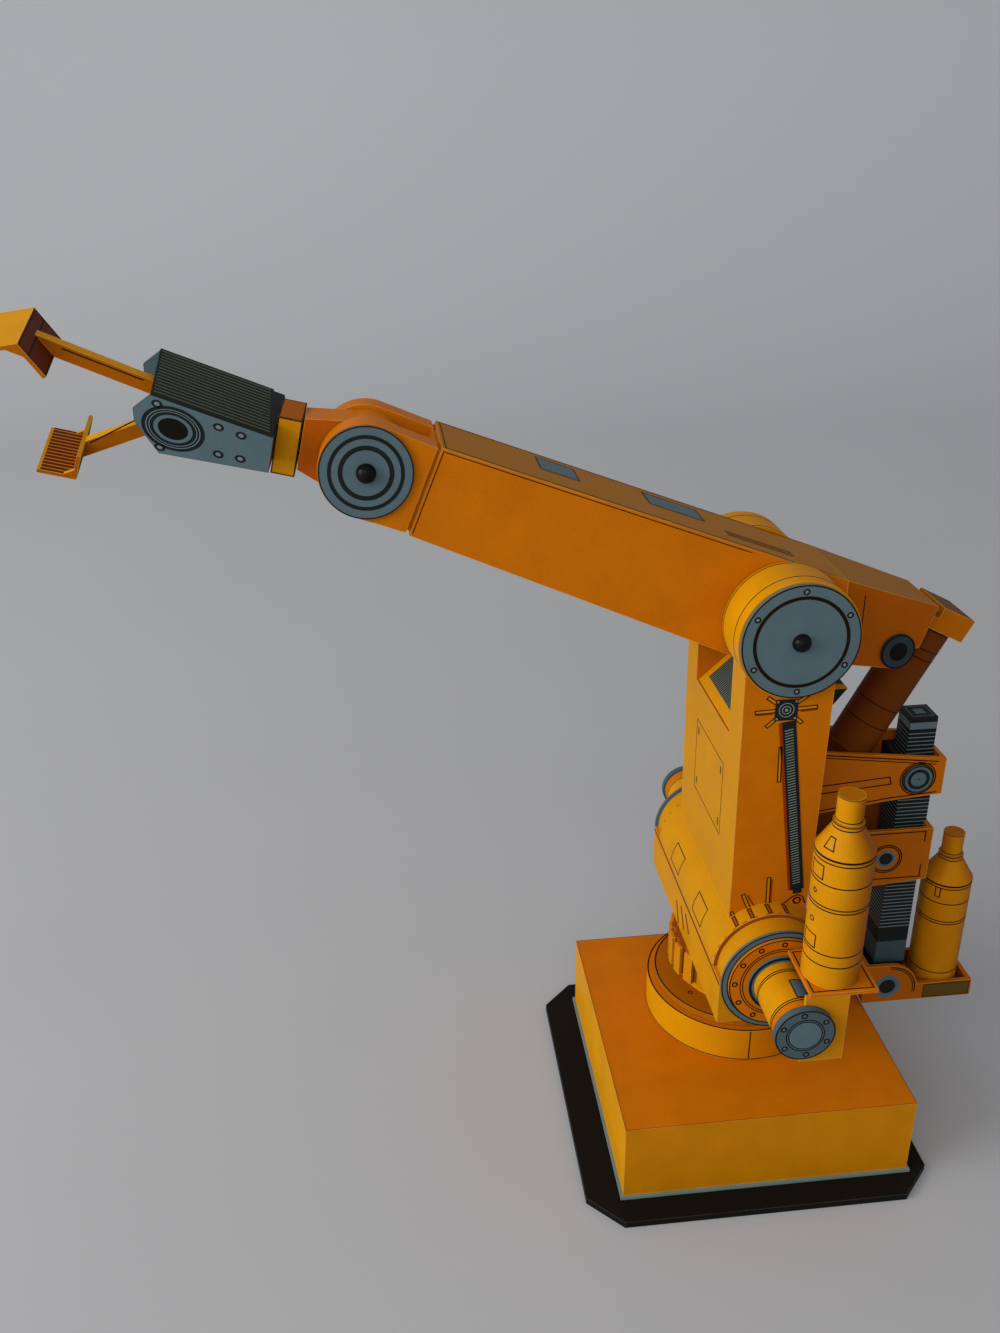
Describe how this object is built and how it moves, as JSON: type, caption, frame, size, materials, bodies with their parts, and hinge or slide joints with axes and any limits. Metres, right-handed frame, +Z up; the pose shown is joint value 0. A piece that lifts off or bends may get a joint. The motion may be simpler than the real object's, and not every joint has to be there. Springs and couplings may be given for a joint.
{
  "type": "industrial robot arm card model",
  "caption": "Card model of a jointed industrial robot arm: square base, turntable, upright with screw drive, forearm with rear link, wrist and two-jaw gripper.",
  "frame": {"origin": "on the waist axis at the underside of the base plate", "axes": "+X forward to the gripper, +Y to the side of the drive motor, +Z up"},
  "size_m": [0.2494, 0.1198, 0.2331],
  "materials": {
    "card_black": "printed matte card",
    "card_strip": "printed matte card",
    "card_yellow": "printed matte card",
    "card_orange": "printed matte card",
    "card_brown": "printed matte card",
    "card_grey_blue": "printed matte card",
    "card_dark": "printed matte card",
    "pin_black": "glossy black pin head"
  },
  "bodies": {
    "base": {"base_plate": "card_black", "base_skirt": "card_strip", "base_box": "card_yellow", "turntable_drum": "card_yellow"},
    "turret": {"turntable_disc": "card_orange", "turntable_collar": "card_yellow", "ribbed_boss": "card_brown", "shoulder_housing": "card_yellow", "flange_ring": "card_grey_blue", "bolt_ring": "card_orange", "motor_ring": "card_grey_blue", "shoulder_motor": "card_yellow", "motor_cap": "card_grey_blue", "far_drum": "card_yellow", "far_disc": "card_grey_blue", "upright": "card_orange", "elbow_drums": "card_yellow", "elbow_discs": "card_grey_blue", "elbow_pin": "pin_black", "elbow_bellows": "card_dark", "top_lever": "card_orange", "lever_nut": "card_dark", "lever_pivots": "card_grey_blue", "mid_bracket": "card_orange", "screw_tray": "card_orange", "screw_column": "card_dark", "screw_top": "card_dark", "motor_shelf": "card_orange", "shelf_plate": "card_yellow", "side_motor": "card_yellow", "tray_motor": "card_yellow"},
    "forearm": {"forearm_box": "card_orange", "rear_ears": "card_orange", "link_rings": "card_dark", "link_pin": "pin_black", "wrist_ears": "card_orange", "wrist_discs": "card_grey_blue", "wrist_pin": "pin_black"},
    "rear_link": {"link_head": "card_orange", "link_tube": "card_brown"},
    "wrist": {"wrist_tongue": "card_orange", "flange_block": "card_orange", "gripper_plates": "card_grey_blue", "gripper_cover": "card_dark", "jaw_pin": "pin_black"},
    "jaw_upper": {"upper_jaw": "card_orange"},
    "jaw_lower": {"lower_jaw": "card_orange"}
  },
  "joints": [
    {"name": "waist", "type": "hinge", "parent": "base", "child": "turret", "pos_m": [0, 0, 0.0371], "axis": [0, 0, 1], "range_deg": [-160, 160]},
    {"name": "elbow", "type": "hinge", "parent": "turret", "child": "forearm", "pos_m": [0, 0, 0.1568], "axis": [0, -1, 0], "range_deg": [-12, 8]},
    {"name": "link_pivot", "type": "hinge", "parent": "forearm", "child": "rear_link", "pos_m": [-0.0319, 0, 0.1452], "axis": [0, -1, 0], "range_deg": [-8, 12]},
    {"name": "wrist_pitch", "type": "hinge", "parent": "forearm", "child": "wrist", "pos_m": [0.09934, 0, 0.19815], "axis": [0, -1, 0], "range_deg": [-35, 35]},
    {"name": "upper_jaw_swing", "type": "hinge", "parent": "wrist", "child": "jaw_upper", "pos_m": [0.14101, -0.00103, 0.2117], "axis": [0.039, -0.9784, 0.2031], "range_deg": [-10, 8]},
    {"name": "lower_jaw_swing", "type": "hinge", "parent": "wrist", "child": "jaw_lower", "pos_m": [0.14101, -0.00103, 0.2117], "axis": [0.039, -0.9784, 0.2031], "range_deg": [-3, 14]}
  ],
  "couplings": [
    {"joint": "link_pivot", "follows": "elbow", "ratio": -1}
  ]
}
